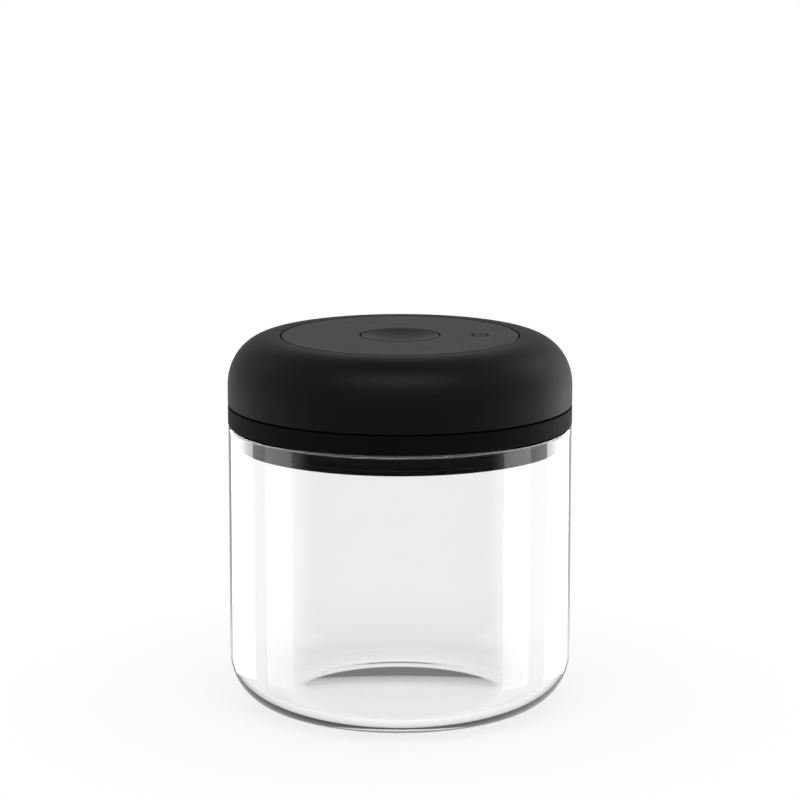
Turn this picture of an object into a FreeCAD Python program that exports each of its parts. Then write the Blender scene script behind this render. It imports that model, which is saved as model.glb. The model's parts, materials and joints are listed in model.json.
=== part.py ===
"""Vacuum seal canister: a clear glass jar with a black lid that is twisted to and fro to pump the air out.

The cap of the lid carries a ring gear. It turns two compound gears, each of which drives a rack with a
piston, so both pistons draw air from the jar when the cap turns one way and blow it out when it turns back.
A dished button in the middle opens the vent valve, and a small pin beside it sinks when a vacuum holds.

Millimetres, +Z up. The origin is the middle of the jar's standing ring, and -Y is the front.
"""

import FreeCAD
import Part

import math
import os

V = FreeCAD.Vector
UP = V(0, 0, 1)
ALONG_X = V(1, 0, 0)

# Glass jar
jar_radius = 56.7
jar_height = 94.0
jar_wall = 3.0
jar_floor = 4.0
jar_corner = 16.5
jar_push_up = 1.2
jar_foot_width = 6.0
jar_rim_round_share = 0.42

# Lid, seen from outside
lid_overhang = 0.1
band_height = 6.2
seam_gap = 0.5
cap_height = 22.3
cap_wall = 2.4
shoulder_rise = 16.0
shoulder_weight_share = 0.72
disc_radius = 39.0
disc_gap = 0.5
disc_thickness = 2.0
top_flat = 2.8
edge_round = 0.5

# Clearances
seat_gap = 0.2
running_gap = 0.3
shaft_gap = 0.05
press_gap = 0.02
cut_overrun = 1.0

# Lid base: plug, band, collar and pressure floor
plug_depth = 7.0
plug_clearance = 0.8
plug_wall = 2.1
gasket_height = 4.4
gasket_depth = 2.2
gasket_rise = 1.6
gasket_lip = 0.55
gasket_lip_height = 1.1
floor_thickness = 2.4
collar_wall = 2.4
collar_height = 4.6
bearing_wall = 1.2

# Bottom cover and inlet filter
cover_thickness = 1.6
filter_inner_radius = 7.0
filter_outer_radius = 17.0
filter_thickness = 0.8
filter_lip_wall = 1.0
filter_lip_height = 1.4
grille_hole_radius = 1.1
grille_ring_shares = (0.25, 0.75)
grille_ring_counts = (8, 14)
cover_screw_circle = 36.0
cover_screw_count = 3

# Lugs under the ring gear that run in slots of the band and stop the twist
lug_count = 3
lug_angle = 12.0
lug_thickness = 2.0
slot_floor = 2.0

# Ribs round the ring gear that hold it in the cap
rib_count = 12
rib_thickness = 1.6

# Gear train
ring_teeth = 74
gear_teeth = 20
pinion_teeth = 12
ring_rim = 2.6
ring_rim_height = 7.0
gear_face = 3.0
rack_module_share = 0.8
gear_pressure_angle = 20.0
rack_pressure_angle = 25.0
addendum_share = 0.9
dedendum_share = 1.25
backlash = 0.12
axle_radius = 1.5
axle_seat = 4.0
axle_head_rim = 1.1
axle_head_height = 0.8
gear_hub_wall = 2.6
gear_boss_wall = 2.4
web_hole_count = 5
web_hole_share = 0.16
flank_points = 5

# Pumps
pump_lift = 1.2
pump_wall = 1.6
pump_head = 2.4
pump_side_gap = 0.6
piston_length = 6.0
piston_clearance = 0.2
piston_end_gap = 0.4
piston_groove_depth = 1.7
piston_groove_width = 2.8
seal_notch = 0.9
rod_height_share = 0.92
rod_inset_share = 0.5
rack_offset_share = 0.56
saddle_length = 14.0
rail_wall = 2.0
rail_rise = 3.0

# Umbrella valves of the pumps
valve_cap_radius = 3.2
valve_cap_thickness = 0.9
valve_stem_radius = 0.8
valve_bulb_radius = 1.2
valve_bulb_length = 0.9
valve_chamber_gap = 0.6
valve_port_radius = 0.55
valve_port_circle = 2.0
valve_port_count = 5

# Bridge plate, top disc and their fastenings
bridge_thickness = 1.8
ledge_reach = 3.0
ledge_thickness = 1.8
peg_radius = 1.4
peg_bulb = 0.3
peg_drop = 1.0
peg_count = 3

# Screws
screw_head_radius = 2.3
screw_head_height = 1.5
screw_shank_radius = 1.1
screw_length = 7.0
screw_short_length = 4.2
screw_boss_wall = 1.8
screw_recess_width = 0.7
screw_recess_depth = 0.8
pump_lug_thickness = 2.2
pump_boss_height = 4.0

# Release button and vent valve
button_radius = 13.0
button_gap = 0.4
button_wall = 1.6
button_height = 6.6
button_dish = 1.5
button_rim = 0.9
button_travel = 2.5
button_boss_radius = 4.4
button_boss_drop = 5.8
button_socket = 3.2
guide_wall = 1.8
stem_radius = 2.0
vent_hole_radius = 3.2
vent_tube_wall = 2.8
vent_tube_height = 8.0
vent_port_radius = 1.2
vent_seal_radius = 5.2
vent_seal_thickness = 1.2
stem_flange_thickness = 1.0
button_spring_wire = 0.35
button_spring_turns = 6

# Vacuum indicator
indicator_place_share = 0.5115
indicator_radius = 2.4
indicator_gap = 0.6
indicator_stem_radius = 1.5
indicator_head_length = 7.2
indicator_flange_radius = 3.6
indicator_flange_thickness = 1.0
indicator_travel = 2.0
sensor_wall = 1.2
sensor_height = 8.0
sensor_port_radius = 0.8
diaphragm_thickness = 0.8
diaphragm_skirt = 3.0
indicator_spring_wire = 0.25
indicator_spring_radius = 3.2
indicator_spring_turns = 6

# Heights of the lid's levels
z_band_bottom = jar_height + seat_gap
z_band_top = z_band_bottom + band_height
z_cap_bottom = z_band_top + seam_gap
z_cap_top = z_cap_bottom + cap_height
z_collar_top = z_band_top + collar_height
z_plug_bottom = jar_height - plug_depth
z_cover_top = z_plug_bottom + cover_thickness
z_vent_seat = z_cover_top + running_gap + button_travel + stem_flange_thickness
z_floor_bottom = z_vent_seat + vent_seal_thickness
z_floor_top = z_floor_bottom + floor_thickness
z_disc_bottom = z_cap_top - disc_thickness
z_bridge_bottom = z_disc_bottom - bridge_thickness
z_ledge_top = z_bridge_bottom - seat_gap
z_ledge_bottom = z_ledge_top - ledge_thickness
z_gear_top = z_ledge_bottom - running_gap
z_gear_bottom = z_gear_top - gear_face
z_rib_bottom = z_collar_top + seat_gap
z_slot = z_band_bottom + slot_floor
z_spring_seat = z_floor_top + vent_tube_height
z_boss_bottom = z_cap_top - button_dish - button_boss_drop
z_sensor_top = z_floor_top + sensor_height

# Radii of the lid's rings
lid_radius = jar_radius + lid_overhang
jar_bore = jar_radius - jar_wall
plug_radius = jar_bore - plug_clearance
groove_radius = plug_radius - gasket_depth
base_bore = groove_radius - plug_wall
collar_radius = base_bore + collar_wall
bearing_radius = collar_radius + bearing_wall
cap_bore = lid_radius - cap_wall
neck_bore = disc_radius + disc_gap
shoulder_run = lid_radius - neck_bore - top_flat
ledge_bore = neck_bore - ledge_reach
slot_inner = bearing_radius + seat_gap
slot_outer = slot_inner + lug_thickness + running_gap
lug_inner = slot_inner + seat_gap / 2
lug_outer = lug_inner + lug_thickness
sensor_radius = indicator_spring_radius + indicator_spring_wire + running_gap
indicator_offset = button_radius + indicator_place_share * (disc_radius - button_radius)

# Gear train, sized from the room that the cap leaves at the gears' top
shoulder_level = (z_gear_top - z_cap_top + shoulder_rise) / (shoulder_rise - cap_wall)
shoulder_reach = (shoulder_run - cap_wall) * math.sqrt(max(0, 1 - shoulder_level**2))
ring_outer = lid_radius - shoulder_run + shoulder_reach - seat_gap
ring_root = ring_outer - ring_rim
gear_module = ring_root / (ring_teeth / 2 + dedendum_share)
ring_pitch = gear_module * ring_teeth / 2
gear_pitch = gear_module * gear_teeth / 2
gear_place = ring_pitch - gear_pitch
rack_module = gear_module * rack_module_share
pinion_pitch = rack_module * pinion_teeth / 2
pinion_tip = pinion_pitch + addendum_share * rack_module
rack_pitch_step = math.pi * rack_module
rack_line = gear_place - pinion_pitch
rack_ratio = pinion_pitch * ring_teeth / gear_teeth

# Pumps, sized from the room between the floor and the gears
pump_top = z_gear_bottom - running_gap
pump_radius = (pump_top - z_floor_top - pump_lift) / 2
pump_axis_z = pump_top - pump_radius
pump_bore = pump_radius - pump_wall
pump_axis_y = rack_line - rack_offset_share * pump_bore
pump_start = pinion_tip + pump_side_gap
pump_room = base_bore - pump_side_gap
pump_end = math.sqrt(pump_room**2 - (pump_axis_y + pump_radius) ** 2)
bore_end = pump_end - pump_head
half_stroke = (bore_end - piston_end_gap - pump_start - piston_length) / 2
piston_back = pump_start + half_stroke
rod_half_height = rod_height_share * pump_bore / 2
rod_bottom = pump_axis_z - rod_half_height
rod_inner = pump_axis_y - rod_inset_share * pump_bore
valve_place = bore_end - valve_cap_radius - valve_chamber_gap
valve_chamber_height = valve_cap_thickness + seat_gap
pump_screw_reach = pump_radius + screw_head_radius
pump_lug_radius = screw_shank_radius + screw_boss_wall
pump_screw_place = pump_start + pump_lug_radius
pump_lug_bottom = z_floor_top + pump_boss_height
twist_limit = math.degrees(half_stroke / rack_ratio)
slot_angle = lug_angle + 2 * twist_limit + math.degrees(2 * seat_gap / slot_inner)

# Places of the bridge plate's posts and of the top disc's pegs
post_radius = screw_shank_radius + screw_boss_wall
post_y = pump_axis_y - pump_radius - post_radius - pump_side_gap
post_circle = ledge_bore - running_gap - post_radius
post_x = math.sqrt(post_circle**2 - post_y**2)
peg_circle = ledge_bore - running_gap - peg_radius - peg_bulb


def corner(before, here, after, radius):
    """The two ends and the middle of an arc that rounds the corner at here."""
    a = V(before[0] - here[0], 0, before[1] - here[1])
    b = V(after[0] - here[0], 0, after[1] - here[1])
    a.normalize()
    b.normalize()
    half = a.getAngle(b) / 2
    middle = a + b
    middle.normalize()
    tip = V(here[0], 0, here[1])
    run = radius / math.tan(half)
    return tip + a * run, tip + middle * (radius / math.sin(half) - radius), tip + b * run


def profile(points):
    """Edges of a closed outline in the XZ plane. A point is (radius, height), or has a round as well."""
    edges = []
    start = None
    first = None
    count = len(points)
    for i, point in enumerate(points):
        if len(point) == 3:
            enter, middle, leave = corner(points[i - 1], point, points[(i + 1) % count], point[2])
        else:
            enter = V(point[0], 0, point[1])
            middle = None
            leave = enter
        if start is None:
            first = enter
        elif start.distanceToPoint(enter) > Part.Precision.confusion():
            edges.append(Part.makeLine(start, enter))
        if middle is not None:
            edges.append(Part.Arc(enter, middle, leave).toShape())
        start = leave
    edges.append(Part.makeLine(start, first))
    return edges


def dome_edge(radius, z_edge, rise):
    """Arc of a sphere about the Z axis, from its edge to its crown, which lies rise above the edge."""
    sphere = (radius**2 + rise**2) / (2 * rise)
    middle = radius / 2
    z_middle = z_edge + rise - sphere + math.copysign(math.sqrt(sphere**2 - middle**2), rise)
    return Part.Arc(V(radius, 0, z_edge), V(middle, 0, z_middle), V(0, 0, z_edge + rise)).toShape()


def lathe_edges(edges):
    """Turns a closed outline in the XZ plane round the Z axis."""
    face = Part.Face(Part.Wire(edges))
    return face.revolve(V(), UP, 360)


def lathe(points):
    return lathe_edges(profile(points))


def rod(radius, bottom, top, x=0, y=0):
    return Part.makeCylinder(radius, top - bottom, V(x, y, bottom))


def rod_x(radius, start, end, y, z):
    return Part.makeCylinder(radius, end - start, V(start, y, z), ALONG_X)


def tube(outer, inner, bottom, top, x=0, y=0):
    return rod(outer, bottom, top, x, y).cut(rod(inner, bottom - cut_overrun, top + cut_overrun, x, y))


def block(x0, x1, y0, y1, z0, z1):
    return Part.makeBox(x1 - x0, y1 - y0, z1 - z0, V(x0, y0, z0))


def sector(inner, outer, bottom, top, middle, width):
    """A piece of a ring, width degrees wide about the direction middle."""
    piece = Part.makeCylinder(outer, top - bottom, V(0, 0, bottom), UP, width)
    piece = piece.cut(rod(inner, bottom - cut_overrun, top + cut_overrun))
    return turned(piece, middle - width / 2)


def turned(shape, angle, x=0, y=0):
    copy = shape.copy()
    copy.rotate(V(x, y, 0), UP, angle)
    return copy


def on_circle(radius, angle):
    return radius * math.cos(math.radians(angle)), radius * math.sin(math.radians(angle))


def fused(first, *others):
    return first.fuse(list(others)).removeSplitter()


def cut_all(shape, tools):
    return shape.cut(list(tools)).removeSplitter()


def pair(front):
    """The same piece of the front and of the rear pump."""
    return front, turned(front, 180)


# Gears


def involute(angle):
    return math.tan(angle) - angle


def gear_face_outline(module, teeth, pressure, addendum, dedendum, thickness, phase):
    """Flat face of an external gear with involute flanks, one tooth pointing in the direction phase."""
    pitch = module * teeth / 2
    base = pitch * math.cos(math.radians(pressure))
    tip = pitch + addendum
    root = pitch - dedendum
    low = max(base, root)

    def half_angle(radius):
        at_pitch = involute(math.radians(pressure))
        at_radius = involute(math.acos(min(1, base / radius)))
        return thickness / (2 * pitch) + at_pitch - at_radius

    def at(radius, angle):
        return V(radius * math.cos(angle), radius * math.sin(angle), 0)

    radii = [low + (tip - low) * i / (flank_points - 1) for i in range(flank_points)]
    edges = []
    for tooth in range(teeth):
        middle = math.radians(phase) + 2 * math.pi * tooth / teeth
        for side in (-1, 1):
            flank = [at(r, middle + side * half_angle(r)) for r in radii]
            foot = at(root, middle + side * half_angle(low))
            curve = Part.BSplineCurve()
            curve.interpolate(flank)
            pieces = [curve.toShape()]
            if root < low:
                pieces.insert(0, Part.makeLine(foot, flank[0]))
            edges.extend(pieces)
            if side < 0:
                crest = at(tip, middle)
                other = at(tip, middle + half_angle(tip))
                edges.append(Part.Arc(flank[-1], crest, other).toShape())
        gap_start = middle + half_angle(low)
        gap_end = middle + 2 * math.pi / teeth - half_angle(low)
        valley = at(root, (gap_start + gap_end) / 2)
        edges.append(Part.Arc(at(root, gap_start), valley, at(root, gap_end)).toShape())
    return Part.Face(Part.Wire(Part.__sortEdges__(edges)))


def gear_blank(module, teeth, pressure, bottom, top, phase):
    face = gear_face_outline(
        module,
        teeth,
        pressure,
        addendum_share * module,
        dedendum_share * module,
        math.pi * module / 2 - backlash,
        phase,
    )
    face.translate(V(0, 0, bottom))
    return face.extrude(V(0, 0, top - bottom))


def ring_gear():
    """Ring with inner teeth, ribs that centre it in the cap, and lugs that hang into the band's slots.

    The gaps between its teeth have the shape of an external gear's teeth.
    """
    face = gear_face_outline(
        gear_module,
        ring_teeth,
        gear_pressure_angle,
        dedendum_share * gear_module,
        addendum_share * gear_module,
        math.pi * gear_module / 2 + backlash,
        -90,
    )
    face.translate(V(0, 0, z_gear_bottom - cut_overrun))
    gaps = face.extrude(V(0, 0, gear_face + 2 * cut_overrun))
    ring_tip = ring_pitch - addendum_share * gear_module
    teeth = tube(ring_outer, ring_tip, z_gear_bottom, z_gear_top).cut(gaps)
    z_ring_bottom = z_gear_top - ring_rim_height
    rim = tube(ring_outer, ring_root, z_ring_bottom, z_gear_bottom)
    room = cap_inside(press_gap)
    root = ring_outer - ring_rim / 2
    rib = block(root, cap_bore, -rib_thickness / 2, rib_thickness / 2, z_rib_bottom, z_cap_top).common(room)
    ribs = [turned(rib, 360 * i / rib_count) for i in range(rib_count)]
    lugs = []
    for i in range(lug_count):
        middle = -90 + 360 * i / lug_count
        z_arm = z_ring_bottom + ring_rim
        arm = sector(root, lug_outer, z_ring_bottom, z_arm, middle, lug_angle)
        lug = sector(lug_inner, lug_outer, z_slot + running_gap, z_arm, middle, lug_angle)
        lugs.append(fused(arm, lug).common(room))
    return fused(teeth, rim, *ribs, *lugs)


def drive_gear(front):
    """Compound gear: a wide gear in the ring gear above, and a pinion in the rack below."""
    half_turn_phase = 0 if front else (ring_teeth / 2 % 1) * 360 / gear_teeth
    z_rod_top = rod_bottom + 2 * rod_half_height
    wheel = gear_blank(
        gear_module, gear_teeth, gear_pressure_angle, z_gear_bottom, z_gear_top, -90 - half_turn_phase
    )
    pinion = gear_blank(rack_module, pinion_teeth, rack_pressure_angle, rod_bottom, z_rod_top, -90)
    hub_radius = axle_radius + gear_hub_wall
    hub = rod(hub_radius, z_rod_top, z_gear_bottom)
    hole_radius = web_hole_share * gear_pitch
    web_middle = (hub_radius + gear_pitch - dedendum_share * gear_module) / 2
    z_head = z_gear_top - axle_head_height - seat_gap
    holes = [
        rod(axle_radius + shaft_gap, rod_bottom - cut_overrun, z_gear_top + cut_overrun),
        rod(axle_radius + axle_head_rim + running_gap, z_head, z_gear_top + cut_overrun),
    ]
    for i in range(web_hole_count):
        x, y = on_circle(web_middle, 360 * i / web_hole_count)
        holes.append(rod(hole_radius, z_gear_bottom - cut_overrun, z_gear_top + cut_overrun, x, y))
    gear = cut_all(fused(wheel, hub, pinion), holes)
    gear.translate(V(0, -gear_place, 0))
    return gear if front else turned(gear, 180)


def gear_axle():
    """Headed pin, pressed into the lid base. Its head lies in a recess of the gear and keeps it down."""
    z_head = z_gear_top - axle_head_height
    pin = rod(axle_radius, rod_bottom - running_gap - axle_seat, z_gear_top)
    head = rod(axle_radius + axle_head_rim, z_head, z_gear_top)
    axle = fused(pin, head)
    axle.translate(V(0, -gear_place, 0))
    return axle


# Jar


def glass_jar():
    bore_corner = jar_corner - jar_floor
    rim_round = jar_rim_round_share * jar_wall
    foot_outer = jar_radius - jar_corner
    foot_inner = foot_outer - jar_foot_width
    outside = [
        (foot_inner, 0),
        (jar_radius, 0, jar_corner),
        (jar_radius, jar_height, rim_round),
        (jar_bore, jar_height, rim_round),
        (jar_bore, jar_floor, bore_corner),
        (0, jar_floor),
        (0, jar_push_up),
    ]
    edges = profile(outside)[:-1]
    return lathe_edges(edges + [dome_edge(foot_inner, 0, jar_push_up)])


# Lid base and what closes it below


def valve_places():
    """Where the intake valves sit in the pressure floor, for the front and the rear pump."""
    return (valve_place, -pump_axis_y), (-valve_place, pump_axis_y)


def pump_screw_places():
    front = [
        (pump_screw_place, -pump_axis_y - pump_screw_reach),
        (pump_screw_place, -pump_axis_y + pump_screw_reach),
    ]
    return front + [(-x, -y) for x, y in front]


def post_places():
    return [(sx * post_x, sy * post_y) for sx in (-1, 1) for sy in (-1, 1)]


def cover_screw_places():
    return [on_circle(cover_screw_circle, 360 * i / cover_screw_count) for i in range(cover_screw_count)]


def rack_rail():
    """Angle rail on the pressure floor that carries the front rack from below and from behind."""
    reach = rack_pitch_step * (rack_half_count() + 1) + half_stroke
    under = block(-reach, 0, -rack_line, -rod_inner, z_floor_top, rod_bottom - running_gap)
    wall_y = -rod_inner + running_gap
    behind = block(-reach, 0, wall_y, wall_y + rail_wall, z_floor_top, rod_bottom + rail_rise)
    web = block(-reach, 0, -rod_inner, wall_y, z_floor_top, rod_bottom - running_gap)
    return fused(under, behind, web)


def lid_base():
    """Plug, band, collar and pressure floor in one moulding, with the posts and bosses for the pump."""
    z_groove_bottom = z_plug_bottom + gasket_rise
    z_groove_top = z_groove_bottom + gasket_height
    body = lathe(
        [
            (0, z_floor_bottom),
            (base_bore, z_floor_bottom),
            (base_bore, z_plug_bottom),
            (plug_radius, z_plug_bottom, edge_round),
            (plug_radius, z_groove_bottom),
            (groove_radius, z_groove_bottom),
            (groove_radius, z_groove_top),
            (plug_radius, z_groove_top),
            (plug_radius, z_band_bottom),
            (lid_radius, z_band_bottom, edge_round),
            (lid_radius, z_band_top, edge_round / 2),
            (collar_radius, z_band_top),
            (collar_radius, z_collar_top),
            (base_bore, z_collar_top),
            (base_bore, z_floor_top),
            (0, z_floor_top),
        ]
    )
    solids = []
    for x, y in post_places():
        solids.append(rod(post_radius, z_floor_top, z_bridge_bottom, x, y))
    for x, y in pump_screw_places():
        solids.append(rod(pump_lug_radius, z_floor_top, pump_lug_bottom, x, y))
    for x, y in cover_screw_places():
        solids.append(rod(screw_shank_radius + screw_boss_wall, z_cover_top, z_floor_bottom, x, y))
    boss = rod(axle_radius + gear_boss_wall, z_floor_top, rod_bottom - running_gap, 0, -gear_place)
    solids.extend(pair(boss))
    solids.extend(pair(rack_rail()))
    solids.append(rod(stem_radius + vent_tube_wall, z_floor_top, z_spring_seat))
    solids.append(rod(sensor_radius + sensor_wall, z_floor_top, z_sensor_top, indicator_offset))
    body = fused(body, *solids)

    cuts = []
    for i in range(lug_count):
        middle = -90 + 360 * i / lug_count
        cuts.append(sector(slot_inner, slot_outer, z_slot, z_band_top + cut_overrun, middle, slot_angle))
    for x, y in post_places():
        z_pilot = z_bridge_bottom - screw_length
        cuts.append(rod(screw_shank_radius, z_pilot, z_bridge_bottom + cut_overrun, x, y))
    for x, y in pump_screw_places():
        z_pilot = pump_lug_bottom + pump_lug_thickness - screw_short_length - running_gap
        cuts.append(rod(screw_shank_radius, z_pilot, pump_lug_bottom + cut_overrun, x, y))
    for x, y in cover_screw_places():
        z_pilot = z_plug_bottom + screw_head_height + screw_short_length
        cuts.append(rod(screw_shank_radius, z_cover_top - cut_overrun, z_pilot, x, y))
    axle_bottom = rod_bottom - running_gap - axle_seat
    hole = rod(axle_radius + press_gap, axle_bottom, rod_bottom, 0, -gear_place)
    cuts.extend(pair(hole))
    cuts.append(rod(vent_hole_radius, z_floor_bottom - cut_overrun, z_floor_top + vent_port_radius * 3))
    cuts.append(rod(stem_radius + shaft_gap, z_floor_top, z_spring_seat + cut_overrun))
    port_reach = stem_radius + vent_tube_wall + cut_overrun
    z_port = z_floor_top + vent_port_radius * 2
    cuts.append(rod_x(vent_port_radius, -port_reach, port_reach, 0, z_port))
    cuts.append(rod(sensor_radius, z_floor_top, z_sensor_top + cut_overrun, indicator_offset))
    below = z_floor_bottom - cut_overrun
    above = z_floor_top + cut_overrun
    cuts.append(rod(sensor_port_radius, below, above, indicator_offset))
    for x, y in valve_places():
        cuts.append(rod(valve_stem_radius + press_gap, below, above, x, y))
        for i in range(valve_port_count):
            px, py = on_circle(valve_port_circle, 360 * i / valve_port_count)
            cuts.append(rod(valve_port_radius, below, above, x + px, y + py))
    return cut_all(body, cuts)


def jar_gasket():
    """Soft ring in the plug's groove, with two lips that wipe the glass."""
    inner = groove_radius + press_gap
    lip = plug_radius + gasket_lip
    bottom = z_plug_bottom + gasket_rise + press_gap
    top = bottom + gasket_height - 2 * press_gap
    slope = gasket_lip_height / 2
    return lathe(
        [
            (inner, bottom),
            (plug_radius, bottom),
            (lip, bottom + slope, gasket_lip / 3),
            (plug_radius, bottom + gasket_lip_height),
            (plug_radius, top - gasket_lip_height),
            (lip, top - slope, gasket_lip / 3),
            (plug_radius, top),
            (inner, top),
        ]
    )


def bottom_cover():
    """Disc under the pressure floor with the inlet grille and a lip that holds the filter."""
    disc = lathe(
        [
            (0, z_plug_bottom),
            (base_bore - seat_gap, z_plug_bottom, edge_round),
            (base_bore - seat_gap, z_cover_top),
            (0, z_cover_top),
        ]
    )
    lip_inner = filter_outer_radius + seat_gap
    lip = tube(lip_inner + filter_lip_wall, lip_inner, z_cover_top, z_cover_top + filter_lip_height)
    cuts = []
    for share, count in zip(grille_ring_shares, grille_ring_counts):
        circle = filter_inner_radius + share * (filter_outer_radius - filter_inner_radius)
        for i in range(count):
            x, y = on_circle(circle, 360 * i / count)
            cuts.append(rod(grille_hole_radius, z_plug_bottom - cut_overrun, z_cover_top + cut_overrun, x, y))
    for x, y in cover_screw_places():
        hole = screw_shank_radius + running_gap
        recess = screw_head_radius + running_gap
        below = z_plug_bottom - cut_overrun
        cuts.append(rod(hole, below, z_cover_top + cut_overrun, x, y))
        cuts.append(rod(recess, below, z_plug_bottom + cover_thickness / 2, x, y))
    return cut_all(fused(disc, lip), cuts)


def inlet_filter():
    return tube(filter_outer_radius, filter_inner_radius, z_cover_top, z_cover_top + filter_thickness)


def screw(length, x, y, z_head, upward):
    """Pan head screw with a cross recess. z_head is where the head meets the piece it holds."""
    head = lathe(
        [
            (0, 0),
            (screw_head_radius, 0),
            (screw_head_radius, screw_head_height, screw_head_height / 2),
            (0, screw_head_height),
        ]
    )
    shank = rod(screw_shank_radius - press_gap, -length, 0)
    half = screw_recess_width / 2
    arm = screw_head_radius * 2 / 3
    z_recess = screw_head_height - screw_recess_depth
    z_clear = screw_head_height + cut_overrun
    cross = [
        block(-arm, arm, -half, half, z_recess, z_clear),
        block(-half, half, -arm, arm, z_recess, z_clear),
    ]
    shape = cut_all(fused(head, shank), cross)
    if upward:
        shape.rotate(V(), ALONG_X, 180)
    shape.translate(V(x, y, z_head))
    return shape


# Cap


def shoulder_outline(inset):
    """Half section of the cap's outside, or of its inside where inset is the wall."""
    side = lid_radius - inset
    top = z_cap_top - inset
    flat = lid_radius - shoulder_run
    level = z_cap_top - shoulder_rise
    curve = Part.BezierCurve()
    curve.setPoles([V(side, 0, level), V(side, 0, top), V(flat, 0, top)])
    curve.setWeight(2, shoulder_weight_share)
    return curve.toShape(), side, top, flat, level


def cap_outside():
    curve, side, top, flat, level = shoulder_outline(0)
    edge = edge_round / 2
    foot = [
        Part.makeLine(V(0, 0, z_cap_bottom), V(side - edge, 0, z_cap_bottom)),
        Part.makeLine(V(side - edge, 0, z_cap_bottom), V(side, 0, z_cap_bottom + edge)),
        Part.makeLine(V(side, 0, z_cap_bottom + edge), V(side, 0, level)),
    ]
    roof = [
        Part.makeLine(V(flat, 0, top), V(0, 0, top)),
        Part.makeLine(V(0, 0, top), V(0, 0, z_cap_bottom)),
    ]
    return lathe_edges(foot + [curve] + roof)


def cap_inside(clearance):
    """The room inside the cap, open downwards, with a clearance to the cap's wall."""
    curve, side, top, flat, level = shoulder_outline(cap_wall + clearance)
    bottom = z_slot
    walls = [
        Part.makeLine(V(0, 0, bottom), V(side, 0, bottom)),
        Part.makeLine(V(side, 0, bottom), V(side, 0, level)),
    ]
    roof = [
        Part.makeLine(V(flat, 0, top), V(0, 0, top)),
        Part.makeLine(V(0, 0, top), V(0, 0, bottom)),
    ]
    return lathe_edges(walls + [curve] + roof)


def twist_cap():
    """Rounded shell with a neck and a ledge under the top disc."""
    shell = cap_outside().cut(cap_inside(0))
    neck_outer = neck_bore + cap_wall
    neck = tube(neck_outer, neck_bore, z_ledge_bottom, z_cap_top - cap_wall / 2)
    ledge = tube(neck_outer, ledge_bore, z_ledge_bottom, z_ledge_top)
    opening = rod(neck_bore, z_ledge_top, z_cap_top + cut_overrun)
    mouth = rod(ledge_bore, z_ledge_bottom - cut_overrun, z_cap_top + cut_overrun)
    return cut_all(fused(shell, neck, ledge), [opening, mouth])


def bearing_ring():
    return tube(bearing_radius, collar_radius + press_gap, z_band_top, z_collar_top)


# Bridge plate, top disc, button and indicator


def peg_places():
    return [on_circle(peg_circle, 60 + 360 * i / peg_count) for i in range(peg_count)]


def bridge_plate():
    """Fixed plate that holds the cap down and guides the button and the indicator."""
    plate = rod(neck_bore - running_gap, z_bridge_bottom, z_disc_bottom)
    button_bore = button_radius + button_gap
    guide = rod(button_bore + guide_wall, z_cap_top - button_height - button_travel, z_disc_bottom)
    z_head = z_cap_top - indicator_head_length
    sleeve_radius = indicator_radius + indicator_gap + sensor_wall
    sleeve = rod(sleeve_radius, z_head + indicator_travel, z_disc_bottom, indicator_offset)
    body = fused(plate, guide, sleeve)
    floor = z_cap_top - button_height - button_travel - cut_overrun
    roof = z_disc_bottom + cut_overrun
    cuts = [
        rod(button_bore, floor, roof),
        rod(indicator_radius + indicator_gap, floor, roof, indicator_offset),
    ]
    for x, y in post_places():
        cuts.append(rod(screw_shank_radius + running_gap, z_bridge_bottom - cut_overrun, roof, x, y))
        cuts.append(rod(screw_head_radius + running_gap, z_disc_bottom - bridge_thickness / 2, roof, x, y))
    for x, y in peg_places():
        cuts.append(rod(peg_radius + press_gap, z_bridge_bottom - cut_overrun, roof, x, y))
    return cut_all(body, cuts)


def top_disc():
    """Flush cover of the lid's middle, held by three pegs in the bridge plate."""
    disc = lathe(
        [
            (0, z_disc_bottom + press_gap),
            (disc_radius, z_disc_bottom + press_gap),
            (disc_radius, z_cap_top, edge_round / 2),
            (0, z_cap_top),
        ]
    )
    pegs = []
    for x, y in peg_places():
        pegs.append(rod(peg_radius, z_bridge_bottom - peg_drop, z_disc_bottom + press_gap, x, y))
        barb = Part.makeCone(
            peg_radius - peg_bulb,
            peg_radius + peg_bulb,
            peg_drop - seat_gap,
            V(x, y, z_bridge_bottom - peg_drop),
        )
        pegs.append(barb)
    cuts = [
        rod(button_radius + button_gap, z_disc_bottom - cut_overrun, z_cap_top + cut_overrun),
        rod(indicator_radius + indicator_gap, z_disc_bottom, z_cap_top + cut_overrun, indicator_offset),
    ]
    for x, y in post_places():
        recess = screw_head_radius + running_gap
        z_recess = z_disc_bottom + screw_head_height - bridge_thickness / 2 + seat_gap
        cuts.append(rod(recess, z_disc_bottom - seat_gap, z_recess, x, y))
    return cut_all(fused(disc, *pegs), cuts)


def release_button():
    """Dished cup with a socket for the vent stem."""
    bottom = z_cap_top - button_height
    dish_edge = button_radius - button_rim
    dish_floor = z_cap_top - button_dish
    roof = dish_floor - button_wall
    skirt = button_radius - button_wall
    edges = profile(
        [
            (0, dish_floor),
            (0, roof),
            (skirt, roof, button_wall / 2),
            (skirt, bottom),
            (button_radius, bottom),
            (button_radius, z_cap_top, edge_round),
            (dish_edge, z_cap_top),
        ]
    )[:-1]
    cup = lathe_edges(edges + [dome_edge(dish_edge, z_cap_top, -button_dish)])
    boss = rod(button_boss_radius, z_boss_bottom, roof + button_wall / 4)
    socket = rod(stem_radius + press_gap, z_boss_bottom - cut_overrun, z_boss_bottom + button_socket)
    return cut_all(fused(cup, boss), [socket])


def vent_stem():
    top = z_boss_bottom + button_socket - seat_gap
    stem = rod(stem_radius, z_vent_seat, top)
    flange = rod(vent_seal_radius, z_vent_seat - stem_flange_thickness, z_vent_seat)
    return fused(stem, flange)


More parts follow.
